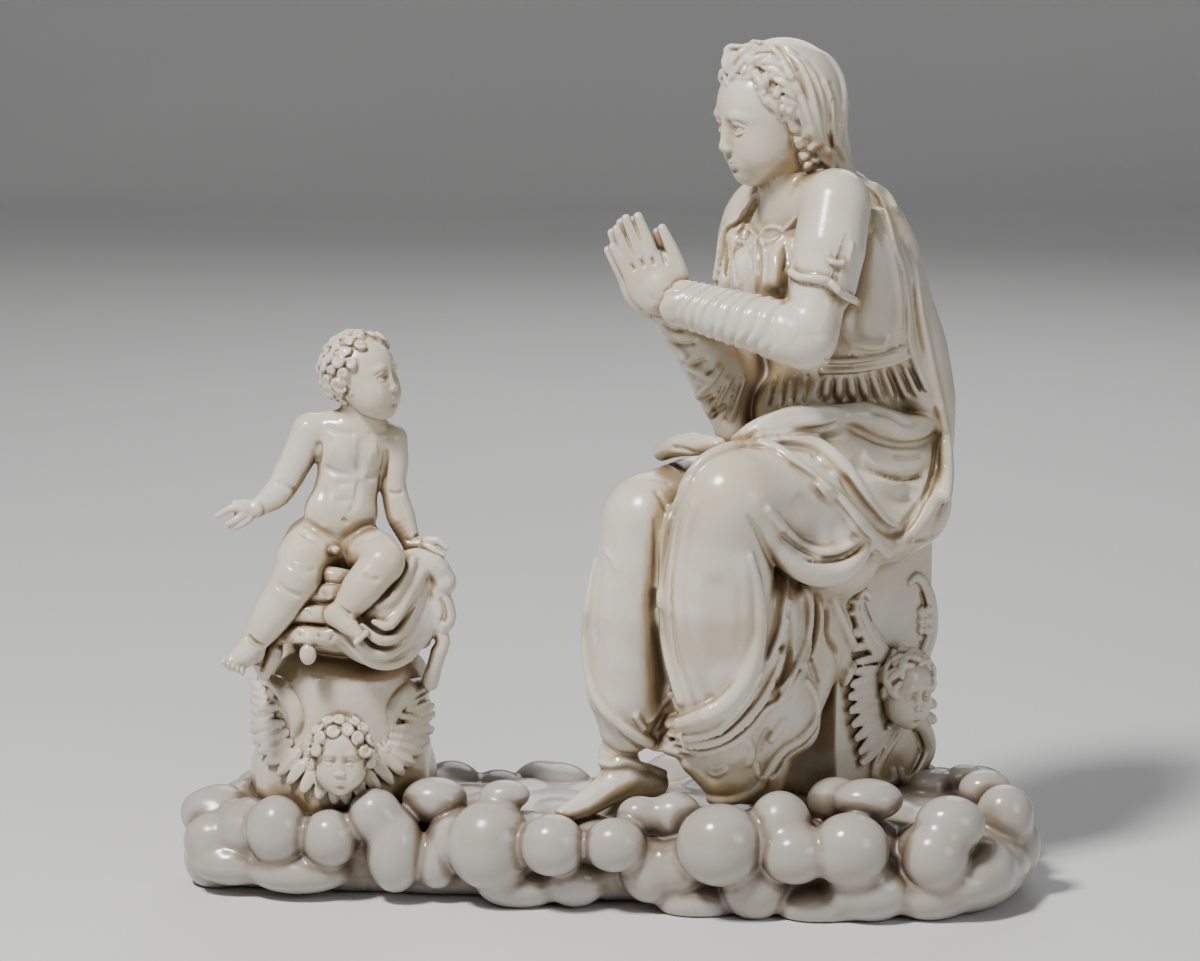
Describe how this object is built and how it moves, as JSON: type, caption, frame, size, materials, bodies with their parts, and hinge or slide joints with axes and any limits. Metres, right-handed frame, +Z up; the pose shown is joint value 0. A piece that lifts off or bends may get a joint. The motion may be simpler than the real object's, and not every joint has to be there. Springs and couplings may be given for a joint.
{
  "type": "carved figure group",
  "caption": "Carved ivory-coloured group: a seated mother prays before a child on a cushioned drum, on a bed of clouds, with a winged cherub on seat and drum.",
  "frame": {"origin": "on the flat underside of the base, under the middle of the group", "axes": "+Z up, front of the group towards -Y, mother on the +X side and child on the -X side"},
  "size_m": [0.1743, 0.0737, 0.1712],
  "materials": {
    "carved_ivory": null,
    "base_ivory": null
  },
  "bodies": {
    "root": {"cloud_base": "base_ivory", "mother_seat": "carved_ivory", "praying_mother": "carved_ivory", "child_on_drum": "carved_ivory"}
  },
  "joints": []
}
